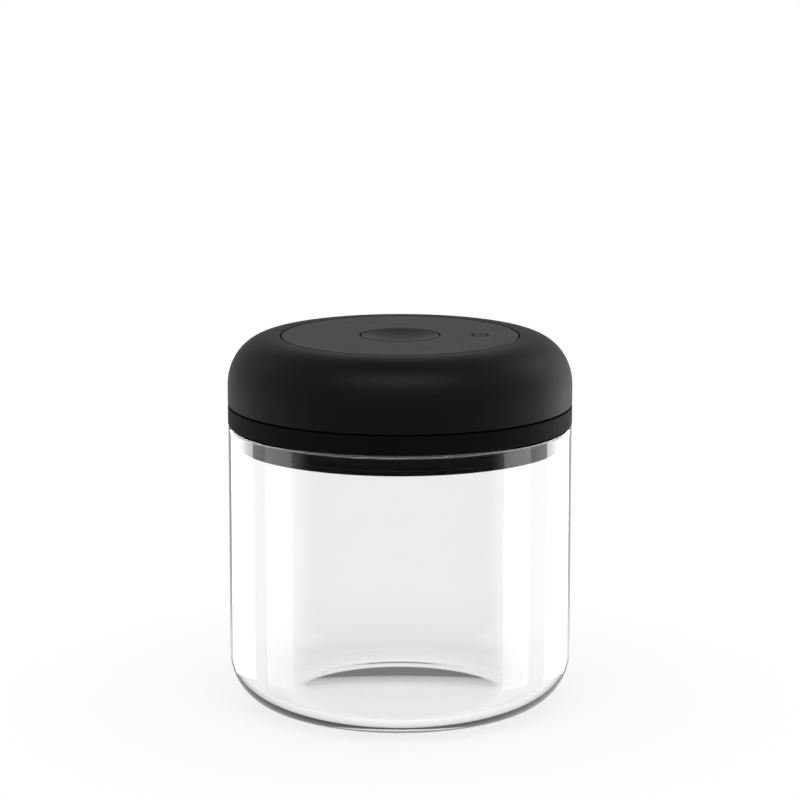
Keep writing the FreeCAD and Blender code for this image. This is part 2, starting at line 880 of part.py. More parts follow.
def vent_seal():
    """Soft washer that closes the vent hole from below."""
    return lathe(
        [
            (stem_radius + press_gap, z_vent_seat),
            (vent_seal_radius, z_vent_seat),
            (vent_seal_radius, z_floor_bottom - press_gap, vent_seal_thickness / 3),
            (stem_radius + press_gap, z_floor_bottom - press_gap),
        ]
    )


def vacuum_indicator():
    z_head = z_cap_top - indicator_head_length
    z_foot = z_sensor_top + diaphragm_thickness
    head = lathe(
        [
            (0, z_head),
            (indicator_radius, z_head),
            (indicator_radius, z_cap_top, edge_round / 2),
            (0, z_cap_top),
        ]
    )
    stem = rod(indicator_stem_radius, z_foot, z_head)
    flange = rod(indicator_flange_radius, z_foot, z_foot + indicator_flange_thickness)
    pin = fused(head, stem, flange)
    pin.translate(V(indicator_offset, 0, 0))
    return pin


def indicator_diaphragm():
    """Soft cap over the sensor well: the vacuum below draws its middle down."""
    inner = sensor_radius + sensor_wall + press_gap
    outer = inner + diaphragm_thickness
    top = z_sensor_top + diaphragm_thickness
    cap = lathe(
        [
            (0, z_sensor_top),
            (inner, z_sensor_top),
            (inner, z_sensor_top - diaphragm_skirt),
            (outer, z_sensor_top - diaphragm_skirt),
            (outer, top, diaphragm_thickness / 2),
            (0, top),
        ]
    )
    cap.translate(V(indicator_offset, 0, 0))
    return cap


def arc_from(start, direction, end):
    """The arc that leaves start in the given direction and comes to end."""
    chord = end - start
    ahead = V(chord)
    ahead.normalize()
    side = direction - ahead * direction.dot(ahead)
    side.normalize()
    turn = direction.getAngle(chord)
    middle = (start + end) * 0.5 + side * (chord.Length / 2 * math.tan(turn / 2))
    return Part.Arc(start, middle, end).toShape()


def coil_spring(name, mean_radius, wire_radius, bottom, top, turns):
    """Round wire wound on biarcs of a quarter turn each, from bottom to top."""
    low = bottom + wire_radius
    rise = top - bottom - 2 * wire_radius
    steps = 4 * turns

    def point(step):
        angle = 2 * math.pi * step / 4
        return V(mean_radius * math.cos(angle), mean_radius * math.sin(angle), low + rise * step / steps)

    def heading(step):
        angle = 2 * math.pi * step / 4
        climb = rise / turns / (2 * math.pi)
        tangent = V(-mean_radius * math.sin(angle), mean_radius * math.cos(angle), climb)
        tangent.normalize()
        return tangent

    edges = []
    for step in range(steps):
        start, end = point(step), point(step + 1)
        leave, arrive = heading(step), heading(step + 1)
        span = end - start
        along = span.dot(leave + arrive)
        bend = 2 * (1 - leave.dot(arrive))
        reach = (math.sqrt(along**2 + bend * span.dot(span)) - along) / bend
        joint = (start + end + (leave - arrive) * reach) * 0.5
        edges.append(arc_from(start, leave, joint))
        edges.append(arc_from(end, arrive * -1, joint))
    path = Part.Wire(Part.__sortEdges__(edges))
    section = Part.Wire(Part.makeCircle(wire_radius, point(0), heading(0)))
    spring = path.makePipeShell([section], True, False)
    wire_length = path.Length
    print(name, "volume over section times length", spring.Volume / (math.pi * wire_radius**2 * wire_length))
    print(name, "least gap between turns", rise / turns - 2 * wire_radius)
    return spring


def button_spring():
    mean_radius = (stem_radius + button_boss_radius) / 2
    return coil_spring(
        "button_spring", mean_radius, button_spring_wire, z_spring_seat, z_boss_bottom, button_spring_turns
    )


def indicator_spring():
    spring = coil_spring(
        "indicator_spring",
        indicator_spring_radius,
        indicator_spring_wire,
        z_floor_top,
        z_sensor_top,
        indicator_spring_turns,
    )
    spring.translate(V(indicator_offset, 0, 0))
    return spring


# Pumps: everything here is the front pump


def rack_half_count():
    """Tooth gaps of the rack on each side of the middle one."""
    return int(piston_back / rack_pitch_step - 1)


def rack_piston():
    """Rack and piston in one moulding."""
    half_angle = math.tan(math.radians(rack_pressure_angle))
    at_pitch = rack_pitch_step / 4 - backlash / 2
    tip = at_pitch - addendum_share * rack_module * half_angle
    foot = at_pitch + dedendum_share * rack_module * half_angle
    y_tip = -rack_line - addendum_share * rack_module
    y_root = -rack_line + dedendum_share * rack_module
    y_back = -rod_inner
    count = rack_half_count()
    left = -(count + 1) * rack_pitch_step
    outline = [V(left, y_back, 0), V(piston_back, y_back, 0), V(piston_back, y_root, 0)]
    for k in range(count, -count - 2, -1):
        x = (k + 1 / 2) * rack_pitch_step
        outline.append(V(x + foot, y_root, 0))
        outline.append(V(x + tip, y_tip, 0))
        outline.append(V(x - tip, y_tip, 0))
        outline.append(V(x - foot, y_root, 0))
    outline.append(V(left, y_root, 0))
    bar_face = Part.Face(Part.makePolygon(outline + outline[:1]))
    bar_face.translate(V(0, 0, rod_bottom))
    bar = bar_face.extrude(V(0, 0, 2 * rod_half_height))
    radius = pump_bore - piston_clearance
    front_face = piston_back + piston_length
    head = rod_x(radius, piston_back, front_face, -pump_axis_y, pump_axis_z)
    groove_middle = piston_back + piston_length / 2
    groove_start = groove_middle - piston_groove_width / 2
    groove_end = groove_middle + piston_groove_width / 2
    groove = rod_x(pump_bore, groove_start, groove_end, -pump_axis_y, pump_axis_z)
    core = rod_x(radius - piston_groove_depth, groove_start, groove_end, -pump_axis_y, pump_axis_z)
    dimple_radius = valve_bulb_radius + running_gap
    dimple_floor = front_face - valve_bulb_length - seat_gap
    dimple = rod_x(dimple_radius, dimple_floor, front_face + cut_overrun, -pump_axis_y, pump_axis_z)
    return cut_all(fused(bar, head), [groove.cut(core), dimple])


def piston_seal():
    """Soft lip ring in the piston's groove, notched on the pressure side."""
    inner = pump_bore - piston_clearance - piston_groove_depth + press_gap
    outer = pump_bore - shaft_gap
    half = piston_groove_width / 2 - press_gap
    middle = (inner + outer) / 2
    ring = lathe(
        [
            (inner, -half),
            (outer, -half, seal_notch / 3),
            (outer, half),
            (middle + seal_notch / 3, half),
            (middle, half - seal_notch),
            (middle - seal_notch / 3, half),
            (inner, half),
        ]
    )
    ring.rotate(V(), V(0, 1, 0), 90)
    ring.translate(V(piston_back + piston_length / 2, -pump_axis_y, pump_axis_z))
    return ring


def pump_cylinder():
    """Barrel with a closed head, a saddle on the pressure floor, a valve chamber and two screw lugs."""
    y = -pump_axis_y
    barrel = rod_x(pump_radius, pump_start, pump_end, y, pump_axis_z)
    chamber_radius = valve_cap_radius + valve_chamber_gap
    half_saddle = chamber_radius + pump_wall
    saddle = block(
        pump_end - saddle_length, pump_end, y - half_saddle, y + half_saddle, z_floor_top, pump_axis_z
    )
    lug_top = pump_lug_bottom + pump_lug_thickness
    ear_ends = (y - pump_screw_reach, y + pump_screw_reach)
    ear = block(
        pump_screw_place - pump_lug_radius,
        pump_screw_place + pump_lug_radius,
        *ear_ends,
        pump_lug_bottom,
        lug_top,
    )
    tips = [rod(pump_lug_radius, pump_lug_bottom, lug_top, pump_screw_place, end) for end in ear_ends]
    body = fused(barrel, saddle, ear, *tips)
    chamber_top = z_floor_top + valve_chamber_height
    cuts = [
        rod_x(pump_bore, pump_start - cut_overrun, bore_end, y, pump_axis_z),
        rod(chamber_radius, z_floor_top - cut_overrun, chamber_top, valve_place, y),
        rod(valve_bulb_radius, z_floor_top, pump_axis_z, valve_place, y),
        rod_x(valve_stem_radius + press_gap, bore_end - cut_overrun, pump_end + cut_overrun, y, pump_axis_z),
    ]
    hole = screw_shank_radius + running_gap
    for end in ear_ends:
        cuts.append(rod(hole, pump_lug_bottom - cut_overrun, lug_top + cut_overrun, pump_screw_place, end))
    inside = bore_end - cut_overrun
    outside = pump_end + cut_overrun
    for i in range(valve_port_count):
        py, pz = on_circle(valve_port_circle, 360 * i / valve_port_count)
        cuts.append(rod_x(valve_port_radius, inside, outside, y + py, pump_axis_z + pz))
    return cut_all(body, cuts)


def umbrella_valve(seat_thickness):
    """Soft mushroom on a seat at height 0: the cap lies on it, and a bulb holds the stem below."""
    dome = lathe(
        [
            (0, 0),
            (valve_cap_radius, 0),
            (valve_cap_radius - valve_cap_thickness / 2, valve_cap_thickness, valve_cap_thickness / 3),
            (0, valve_cap_thickness),
        ]
    )
    stem = rod(valve_stem_radius, -seat_thickness, 0)
    bulb = Part.makeCone(
        valve_stem_radius,
        valve_bulb_radius,
        valve_bulb_length,
        V(0, 0, -seat_thickness - valve_bulb_length),
    )
    return fused(dome, stem, bulb)


def intake_valve():
    valve = umbrella_valve(floor_thickness)
    valve.translate(V(valve_place, -pump_axis_y, z_floor_top))
    return valve


def exhaust_valve():
    valve = umbrella_valve(pump_head)
    valve.rotate(V(), V(0, 1, 0), 90)
    valve.translate(V(pump_end, -pump_axis_y, pump_axis_z))
    return valve


def build():
    """Every node of the canister, by name."""
    cylinders = pair(pump_cylinder())
    pistons = pair(rack_piston())
    seals = pair(piston_seal())
    post_head = z_disc_bottom - bridge_thickness / 2
    plate_screws = [screw(screw_length - running_gap, x, y, post_head, False) for x, y in post_places()]
    pump_head_z = pump_lug_bottom + pump_lug_thickness
    pump_screws = [screw(screw_short_length, x, y, pump_head_z, False) for x, y in pump_screw_places()]
    cover_head = z_plug_bottom + cover_thickness / 2
    cover_screws = [screw(screw_short_length, x, y, cover_head, True) for x, y in cover_screw_places()]
    return {
        "glass_jar": glass_jar(),
        "lid_base": lid_base(),
        "jar_gasket": jar_gasket(),
        "bottom_cover": bottom_cover(),
        "cover_screws": Part.makeCompound(cover_screws),
        "inlet_filter": inlet_filter(),
        "twist_cap": twist_cap(),
        "ring_gear": ring_gear(),
        "bearing_ring": bearing_ring(),
        "bridge_plate": bridge_plate(),
        "plate_screws": Part.makeCompound(plate_screws),
        "top_disc": top_disc(),
        "release_button": release_button(),
        "button_spring": button_spring(),
        "vent_stem": vent_stem(),
        "vent_seal": vent_seal(),
        "vacuum_indicator": vacuum_indicator(),
        "indicator_spring": indicator_spring(),
        "indicator_diaphragm": indicator_diaphragm(),
        "drive_gear_front": drive_gear(True),
        "drive_gear_rear": drive_gear(False),
        "gear_axles": Part.makeCompound(list(pair(gear_axle()))),
        "pump_cylinder_front": cylinders[0],
        "pump_cylinder_rear": cylinders[1],
        "rack_piston_front": pistons[0],
        "rack_piston_rear": pistons[1],
        "piston_seal_front": seals[0],
        "piston_seal_rear": seals[1],
        "intake_valves": Part.makeCompound(list(pair(intake_valve()))),
        "exhaust_valves": Part.makeCompound(list(pair(exhaust_valve()))),
        "pump_screws": Part.makeCompound(pump_screws),
    }


def main():
    os.makedirs("parts", exist_ok=True)
    for name, shape in build().items():
        if not shape.isValid():
            raise ValueError(name + " is not a valid solid")
        shape.exportStep("parts/" + name + ".step")
    print("gear module", gear_module, "gear place", gear_place, "rack line", rack_line)
    print("half stroke", half_stroke, "twist limit", twist_limit, "rack ratio per radian", rack_ratio)
    print("pump bore", pump_bore, "pump axis", pump_axis_y, pump_axis_z, "from", pump_start, "to", pump_end)
    print("lid top", z_cap_top, "ring outer", ring_outer, "base bore", base_bore)
    print("post", post_x, post_y, "pump screw", pump_screw_place, "floor", z_floor_bottom, z_floor_top)


main()
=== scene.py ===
"""Vacuum seal canister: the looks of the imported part, in the part's own frame and in metres."""

import json
import math

import bmesh
import bpy
from mathutils import Matrix, Vector

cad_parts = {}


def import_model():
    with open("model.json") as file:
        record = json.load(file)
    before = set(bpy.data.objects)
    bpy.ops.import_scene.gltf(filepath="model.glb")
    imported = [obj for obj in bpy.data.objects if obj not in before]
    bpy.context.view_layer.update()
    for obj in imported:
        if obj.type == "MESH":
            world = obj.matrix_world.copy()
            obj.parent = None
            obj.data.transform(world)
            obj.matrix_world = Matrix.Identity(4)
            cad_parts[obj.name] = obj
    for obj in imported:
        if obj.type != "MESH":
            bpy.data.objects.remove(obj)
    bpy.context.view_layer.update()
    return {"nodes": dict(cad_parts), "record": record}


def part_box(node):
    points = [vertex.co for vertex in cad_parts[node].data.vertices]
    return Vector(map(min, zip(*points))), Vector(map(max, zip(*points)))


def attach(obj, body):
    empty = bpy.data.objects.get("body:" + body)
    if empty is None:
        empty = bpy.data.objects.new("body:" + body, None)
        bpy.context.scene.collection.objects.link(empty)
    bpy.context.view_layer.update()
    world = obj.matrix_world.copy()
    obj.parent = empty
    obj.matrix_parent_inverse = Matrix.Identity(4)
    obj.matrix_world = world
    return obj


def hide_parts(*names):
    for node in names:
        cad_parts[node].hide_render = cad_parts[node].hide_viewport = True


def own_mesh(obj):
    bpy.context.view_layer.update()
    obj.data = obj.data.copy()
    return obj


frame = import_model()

# Camera, as the photograph was taken
CAMERA_DISTANCE = 1.0079
CAMERA_HEIGHT = 0.2923
CAMERA_PITCH = math.radians(10.726)
CAMERA_LENS = 139.8

# Studio, as reflections find it: where the surroundings fade from one level to another, along X, Y or Z of a
# direction of length 1, and the levels
FRONT_EDGE = (-0.45, -0.1)
CEILING_EDGE = (0.6, 0.9)
BACKDROP_EDGE = (-0.1, 0.15)
SIDE_EDGE = (-0.2, 0.8)
FLOOR_EDGE = (-0.75, -0.4)
DARK = 0.02
GLASS_DARK = 0.06
BACKDROP_LEVEL = 0.6
LEFT_LEVEL = 0.65
AMBIENT = 0.65
WHITE = 1

# A ray whose depth is above this has bounced
BOUNCED = 0.5

# Upright soft boxes: the height of their middle above the floor, and their own height
BOX_MIDDLE = 0.2
BOX_HEIGHT = 1.0

# Floor: it fades from shaded white to plain white with the distance, as its own glow takes over
FLOOR_RADIUS = 4
FLOOR_WHITE = 0.93
FLOOR_FADE = (0.04, 0.16)
FLOOR_GLOW = (0.8, 1)

# Black plastics: size of the faint patches in the sheen, roughness from patch to patch, darkest and lightest
# share of the colour in the grain, relief as a share of the grain's size, and grains from pit to pit
BLACK_PATCH = 0.008
CAP_ROUGHNESS = (0.44, 0.465)
DISC_ROUGHNESS = (0.35, 0.375)
BASE_ROUGHNESS = (0.57, 0.6)
GRAIN_SHADES = (0.8, 1.2)
GRAIN_RELIEF = 0.035
PIT_SPACING = 2

# Middle range of a noise pattern, which is spread over a finish's values
NOISE_RANGE = (0.3, 0.7)

# Mesh resolution
TURN_STEPS = 192
SMALL_TURN_STEPS = 64
ROUND_STEPS = 8
JAR_ROUND_STEPS = 24
DOME_STEPS = 12
WIRE_STEPS = 12
COIL_STEPS = 48
SHARP_ANGLE = math.radians(40)
ON_AXIS = 1e-6

# Glass jar, inside the outline that the frame gives
JAR_WALL = 0.003
JAR_FLOOR = 0.004
JAR_CORNER = 0.0165
JAR_PUSH_UP = 0.0012
JAR_FOOT_WIDTH = 0.006
JAR_RIM_ROUND = 0.00126

# Soft pieces
GASKET_DEPTH = 0.0022
GASKET_LIP = 0.00055
GASKET_LIP_HEIGHT = 0.0011
VENT_SEAL_BORE = 0.00202
SEAL_BEAD = 0.0004
PISTON_SEAL_DEPTH = 0.00183
SEAL_NOTCH = 0.0009
DIAPHRAGM_THICKNESS = 0.0008
DIAPHRAGM_CONVOLUTION = 0.0006
VALVE_THICKNESS = 0.0009
VALVE_STEM_RADIUS = 0.0008
VALVE_BULB_RADIUS = 0.0012
VALVE_BULB_LENGTH = 0.0009
VALVE_SEAT = 0.0024

# Coil springs: wire radius and turns, the closed end turns included
BUTTON_WIRE = 0.00035
INDICATOR_WIRE = 0.00025
SPRING_TURNS = 7
CLOSED_TURNS = 1


# Meshes


def rounded(corners, steps=ROUND_STEPS):
    """Points of an outline of (radius, height, round) corners, where each round is an arc."""
    points = []
    for i, (across, height, size) in enumerate(corners):
        here = Vector((across, height))
        if size == 0:
            points.append(here)
            continue
        before = (Vector(corners[i - 1][:2]) - here).normalized()
        after = (Vector(corners[(i + 1) % len(corners)][:2]) - here).normalized()
        half = before.angle(after) / 2
        centre = here + (before + after).normalized() * size / math.sin(half)
        start = here + before * size / math.tan(half) - centre
        end = here + after * size / math.tan(half) - centre
        sweep = start.angle_signed(end)
        for k in range(steps + 1):
            points.append(centre + Matrix.Rotation(-sweep * k / steps, 2) @ start)
    return points


def dome(radius, edge, rise, steps=DOME_STEPS):
    """Points of a sphere's arc from its crown on the axis to its edge."""
    sphere = (radius**2 + rise**2) / (2 * rise)
    points = []
    for k in range(steps):
        across = radius * k / steps
        points.append(Vector((across, edge + rise - sphere + math.sqrt(sphere**2 - across**2))))
    return points


def piece(name, shape, material, body):
    """Object of a bmesh shape that rides on a body and takes the material that it is given."""
    bmesh.ops.recalc_face_normals(shape, faces=shape.faces)
    for face in shape.faces:
        face.smooth = True
    mesh = bpy.data.meshes.new(name)
    shape.to_mesh(mesh)
    shape.free()
    mesh.set_sharp_from_angle(angle=SHARP_ANGLE)
    mesh.materials.append(material)
    made = bpy.data.objects.new(name, mesh)
    bpy.context.scene.collection.objects.link(made)
    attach(made, body)
    return made


def add_turned(shape, outline, place, steps):
    """Turns a closed outline of (radius, height) points round the Z axis and sets it in its place."""
    rings = []
    for across, height in outline:
        count = 1 if across < ON_AXIS else steps
        ring = []
        for i in range(count):
            angle = 2 * math.pi * i / steps
            corner = Vector((across * math.cos(angle), across * math.sin(angle), height))
            ring.append(shape.verts.new(place @ corner))
        rings.append(ring)
    for low, high in zip(rings, rings[1:] + rings[:1]):
        if len(low) == 1 and len(high) == 1:
            continue
        for i in range(steps):
            k = i + 1
            corners = [low[i % len(low)], low[k % len(low)], high[k % len(high)], high[i % len(high)]]
            # A ring on the axis is one point, which a face holds only once
            shape.faces.new(list(dict.fromkeys(corners)))


def turned(name, outline, material, body, place=None, steps=SMALL_TURN_STEPS):
    """Piece that is one turned outline, about the Z axis or in a place of its own."""
    shape = bmesh.new()
    add_turned(shape, outline, place or Matrix.Identity(4), steps)
    return piece(name, shape, material, body)


# Glass jar


def glass_jar(material):
    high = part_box("glass_jar")[1]
    outer = high.x
    bore = outer - JAR_WALL
    foot = outer - JAR_CORNER - JAR_FOOT_WIDTH
    outline = dome(foot, 0, JAR_PUSH_UP)
    outline += rounded(
        [
            (foot, 0, 0),
            (outer, 0, JAR_CORNER),
            (outer, high.z, JAR_RIM_ROUND),
            (bore, high.z, JAR_RIM_ROUND),
            (bore, JAR_FLOOR, JAR_CORNER - JAR_FLOOR),
            (0, JAR_FLOOR, 0),
        ],
        JAR_ROUND_STEPS,
    )
    jar = turned("clear_jar", outline, material, "jar", steps=TURN_STEPS)
    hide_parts("glass_jar")
    return jar


# Soft pieces


def jar_gasket(material):
    low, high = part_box("jar_gasket")
    lip = high.x
    wall = lip - GASKET_LIP
    inner = wall - GASKET_DEPTH
    slope = GASKET_LIP_HEIGHT / 2
    outline = rounded(
        [
            (inner, low.z, 0),
            (wall, low.z, 0),
            (lip, low.z + slope, GASKET_LIP / 3),
            (wall, low.z + GASKET_LIP_HEIGHT, GASKET_LIP / 2),
            (wall, high.z - GASKET_LIP_HEIGHT, GASKET_LIP / 2),
            (lip, high.z - slope, GASKET_LIP / 3),
            (wall, high.z, 0),
            (inner, high.z, 0),
        ]
    )
    gasket = turned("gasket_ring", outline, material, "lid", steps=TURN_STEPS)
    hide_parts("jar_gasket")


def vent_seal(material):
    low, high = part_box("vent_seal")
    outline = rounded(
        [
            (VENT_SEAL_BORE, low.z, 0),
            (high.x, low.z, SEAL_BEAD / 2),
            (high.x, high.z, SEAL_BEAD),
            (VENT_SEAL_BORE, high.z, 0),
        ]
    )
    seal = turned("vent_washer", outline, material, "release")
    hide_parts("vent_seal")


def piston_seal(end, material):
    """Lip ring about the X axis. The lips open towards the closed end of the cylinder."""
    node = "piston_seal_" + end
    low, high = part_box(node)
    middle = (low + high) / 2
    outer = (high.z - low.z) / 2
    inner = outer - PISTON_SEAL_DEPTH
    half = (high.x - low.x) / 2
    groove = (inner + outer) / 2
    outline = rounded(
        [
            (inner, -half, 0),
            (outer, -half, SEAL_NOTCH / 3),
            (outer, half, 0),
            (groove + SEAL_NOTCH / 3, half, 0),
            (groove, half - SEAL_NOTCH, SEAL_NOTCH / 4),
            (groove - SEAL_NOTCH / 3, half, 0),
            (inner, half, 0),
        ]
    )
    turn = Matrix.Rotation(math.copysign(math.pi / 2, middle.x), 4, "Y")
    place = Matrix.Translation(middle) @ turn
    seal = turned("lip_seal_" + end, outline, material, end + "_piston", place)
    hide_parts(node)


def diaphragm(material):
    low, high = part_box("indicator_diaphragm")
    middle = (low + high) / 2
    outer = (high.x - low.x) / 2
    inner = outer - DIAPHRAGM_THICKNESS
    under = high.z - DIAPHRAGM_THICKNESS
    wave = inner - 2 * DIAPHRAGM_THICKNESS
    outline = rounded(
        [
            (0, under, 0),
            (inner, under, 0),
            (inner, low.z, 0),
            (outer, low.z, DIAPHRAGM_THICKNESS / 4),
            (outer, high.z, DIAPHRAGM_THICKNESS / 2),
            (wave + DIAPHRAGM_CONVOLUTION, high.z, DIAPHRAGM_CONVOLUTION / 4),
            (wave, high.z - DIAPHRAGM_CONVOLUTION, DIAPHRAGM_CONVOLUTION / 3),
            (wave - DIAPHRAGM_CONVOLUTION, high.z, DIAPHRAGM_CONVOLUTION / 4),
            (0, high.z, 0),
        ]
    )
    place = Matrix.Translation((middle.x, middle.y, 0))
    cap = turned("sensor_diaphragm", outline, material, "lid", place)
    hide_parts("indicator_diaphragm")
    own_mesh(cap)


def valve_outline(radius):
    """Umbrella valve on a seat at height 0, with its stem through the seat."""
    under = -VALVE_SEAT
    return rounded(
        [
            (0, under - VALVE_BULB_LENGTH, 0),
            (VALVE_STEM_RADIUS, under - VALVE_BULB_LENGTH, 0),
            (VALVE_BULB_RADIUS, under, VALVE_STEM_RADIUS / 4),
            (VALVE_STEM_RADIUS, under, 0),
            (VALVE_STEM_RADIUS, 0, 0),
            (radius, 0, 0),
            (radius - VALVE_THICKNESS / 2, VALVE_THICKNESS, VALVE_THICKNESS / 2),
            (0, VALVE_THICKNESS, 0),
        ]
    )


def valve_pair(name, node, place, radius, material):
    """The same valve of the front and of the rear pump."""
    shape = bmesh.new()
    for half_turn in (0, math.pi):
        add_turned(
            shape, valve_outline(radius), Matrix.Rotation(half_turn, 4, "Z") @ place, SMALL_TURN_STEPS
        )
    valves = piece(name, shape, material, "lid")
    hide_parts(node)


def valves(material):
    low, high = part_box("exhaust_valves")
    radius = (high.z - low.z) / 2
    axis_y = high.y - radius
    seat = high.x - VALVE_THICKNESS
    place = Matrix.Translation((seat, -axis_y, (low.z + high.z) / 2)) @ Matrix.Rotation(math.pi / 2, 4, "Y")
    valve_pair("exhaust_umbrellas", "exhaust_valves", place, radius, material)
    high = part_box("intake_valves")[1]
    place = Matrix.Translation((high.x - radius, -axis_y, high.z - VALVE_THICKNESS))
    valve_pair("intake_umbrellas", "intake_valves", place, radius, material)


# Springs


def spring_height(turn, low, high, wire):
    """Height of the wire's middle after so many turns: the end turns are closed, the others even."""
    closed = 2 * wire * CLOSED_TURNS
    bottom = low + wire
    top = high - wire
    if turn < CLOSED_TURNS:
        return bottom + 2 * wire * turn
    if turn > SPRING_TURNS - CLOSED_TURNS:
        return top - 2 * wire * (SPRING_TURNS - turn)
    open_turns = SPRING_TURNS - 2 * CLOSED_TURNS
    return bottom + closed + (top - bottom - 2 * closed) * (turn - CLOSED_TURNS) / open_turns


def coil_spring(name, node, wire, material):
    low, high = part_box(node)
    middle = (low + high) / 2
    mean = (high.y - low.y) / 2 - wire
    shape = bmesh.new()
    rings = []
    for step in range(SPRING_TURNS * COIL_STEPS + 1):
        turn = step / COIL_STEPS
        angle = 2 * math.pi * turn
        outward = Vector((math.cos(angle), math.sin(angle), 0))
        centre = Vector((middle.x, middle.y, spring_height(turn, low.z, high.z, wire))) + outward * mean
        ring = []
        for k in range(WIRE_STEPS):
            around = 2 * math.pi * k / WIRE_STEPS
            across = outward * math.cos(around) + Vector((0, 0, math.sin(around)))
            ring.append(shape.verts.new(centre + across * wire))
        rings.append(ring)
    for first, second in zip(rings, rings[1:]):
        for k in range(WIRE_STEPS):
            n = (k + 1) % WIRE_STEPS
            shape.faces.new([first[k], first[n], second[n], second[k]])
    shape.faces.new(rings[0])
    shape.faces.new(rings[-1])
    spring = piece(name, shape, material, "lid")
    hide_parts(node)
    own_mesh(spring)


# Materials


class Tree:
    """The nodes of a material or of the world, and the few kinds of sums that are made with them."""

    def __init__(self, owner):
        owner.use_nodes = True
        self.nodes = owner.node_tree.nodes
        self.links = owner.node_tree.links

    def feed(self, socket, value):
        """Sets a number, or links another node's output."""
        if isinstance(value, (int, float)):
            socket.default_value = value
        else:
            self.links.new(value, socket)

    def sum(self, operation, first, second):
        made = self.nodes.new("ShaderNodeMath")
        made.operation = operation
        self.feed(made.inputs[0], first)
        self.feed(made.inputs[1], second)
        return made.outputs["Value"]

    def spread(self, value, start, end, low, high, kind="LINEAR"):
        """Goes from low to high while the value goes from start to end."""
        made = self.nodes.new("ShaderNodeMapRange")
        made.interpolation_type = kind
        made.inputs["From Min"].default_value = start
        made.inputs["From Max"].default_value = end
        made.inputs["To Min"].default_value = low
        made.inputs["To Max"].default_value = high
        self.feed(made.inputs["Value"], value)
        return made.outputs["Result"]

    def mix(self, share, first, second):
        made = self.nodes.new("ShaderNodeMix")
        self.feed(made.inputs["Factor"], share)
        self.feed(made.inputs["A"], first)
        self.feed(made.inputs["B"], second)
        return made.outputs["Result"]

    def mix_shaders(self, share, first, second):
        made = self.nodes.new("ShaderNodeMixShader")
        self.feed(made.inputs["Fac"], share)
        self.feed(made.inputs[1], first)
        self.feed(made.inputs[2], second)
        return made.outputs["Shader"]


class Look(Tree):
    """A material with a Principled shader and procedural patterns."""

    def __init__(self, name):
        self.material = bpy.data.materials.new(name)
        super().__init__(self.material)
        self.shader = self.nodes["Principled BSDF"]
        self.place = self.nodes.new("ShaderNodeTexCoord").outputs["Object"]
        self.normal = None

    def set(self, **values):
        for name, value in values.items():
            self.shader.inputs[name.replace("_", " ")].default_value = value

    def noise(self, size, detail=2.0, stretch=(1, 1, 1)):
        """Cloudy pattern whose blobs are about size wide, drawn out along an axis where stretch is small."""
        mapping = self.nodes.new("ShaderNodeMapping")
        mapping.inputs["Scale"].default_value = stretch
        self.links.new(self.place, mapping.inputs["Vector"])
        noise = self.nodes.new("ShaderNodeTexNoise")
        noise.inputs["Scale"].default_value = 1 / size
        noise.inputs["Detail"].default_value = detail
        self.links.new(mapping.outputs["Vector"], noise.inputs["Vector"])
        return noise.outputs["Fac"]

    def cells(self, size):
        """Distance to the nearest of scattered points about size apart."""
        voronoi = self.nodes.new("ShaderNodeTexVoronoi")
        voronoi.inputs["Scale"].default_value = 1 / size
        self.links.new(self.place, voronoi.inputs["Vector"])
        return voronoi.outputs["Distance"]

    def roughness(self, pattern, low, high):
        self.links.new(self.spread(pattern, *NOISE_RANGE, low, high), self.shader.inputs["Roughness"])

    def colour(self, pattern, dark, light):
        mix = self.nodes.new("ShaderNodeMix")
        mix.data_type = "RGBA"
        mix.inputs["A"].default_value = (*dark, 1)
        mix.inputs["B"].default_value = (*light, 1)
        self.links.new(self.spread(pattern, *NOISE_RANGE, 0, 1), mix.inputs["Factor"])
        self.links.new(mix.outputs["Result"], self.shader.inputs["Base Color"])

    def bump(self, pattern, height):
        """Relief, over the relief that the material already has."""
        bump = self.nodes.new("ShaderNodeBump")
        bump.inputs["Strength"].default_value = 1
        bump.inputs["Distance"].default_value = height
        self.links.new(pattern, bump.inputs["Height"])
        if self.normal is not None:
            self.links.new(self.normal, bump.inputs["Normal"])
        self.normal = bump.outputs["Normal"]
        self.links.new(self.normal, self.shader.inputs["Normal"])


def grey(level):
    return (level, level, level)


def clear_glass():
    look = Look("clear_glass")
    look.set(Transmission_Weight=1.0, IOR=1.5)
    smear = look.noise(size=0.03, detail=3)
    look.colour(smear, dark=(0.985, 0.99, 0.988), light=(0.995, 0.998, 0.997))
    look.roughness(smear, low=0.0, high=0.012)
    look.bump(look.noise(size=0.045, detail=1), height=0.00003)
    tint = look.nodes.new("ShaderNodeVolumeAbsorption")
    tint.inputs["Color"].default_value = (0.55, 0.58, 0.57, 1)
    tint.inputs["Density"].default_value = 4
    look.links.new(tint.outputs["Volume"], look.nodes["Material Output"].inputs["Volume"])
    return look.material


def matte_black(name, base, grain, gloss, roughness):
    """Moulded black plastic with a fine eroded texture, grain wide."""
    look = Look(name)
    fine = look.noise(size=grain, detail=3)
    dark, light = (grey(base * shade) for shade in GRAIN_SHADES)
    look.colour(fine, dark, light)
    look.roughness(look.noise(BLACK_PATCH), *roughness)
    look.bump(fine, grain * GRAIN_RELIEF)
    look.bump(look.cells(grain * PIT_SPACING), grain * GRAIN_RELIEF / 2)
    look.set(Specular_IOR_Level=gloss)
    return look.material


def cap_plastic():
    return matte_black("cap_plastic", base=0.007, grain=0.00025, gloss=0.15, roughness=CAP_ROUGHNESS)


def disc_plastic(name):
    return matte_black(name, base=0.008, grain=0.00022, gloss=0.15, roughness=DISC_ROUGHNESS)


# Darker than the cap's black: partly the lid base's own deeper black, partly painted shade for the plug,
# which sits under the lid in the jar's mouth.
def base_plastic():
    return matte_black("base_plastic", base=0.004, grain=0.0002, gloss=0.08, roughness=BASE_ROUGHNESS)
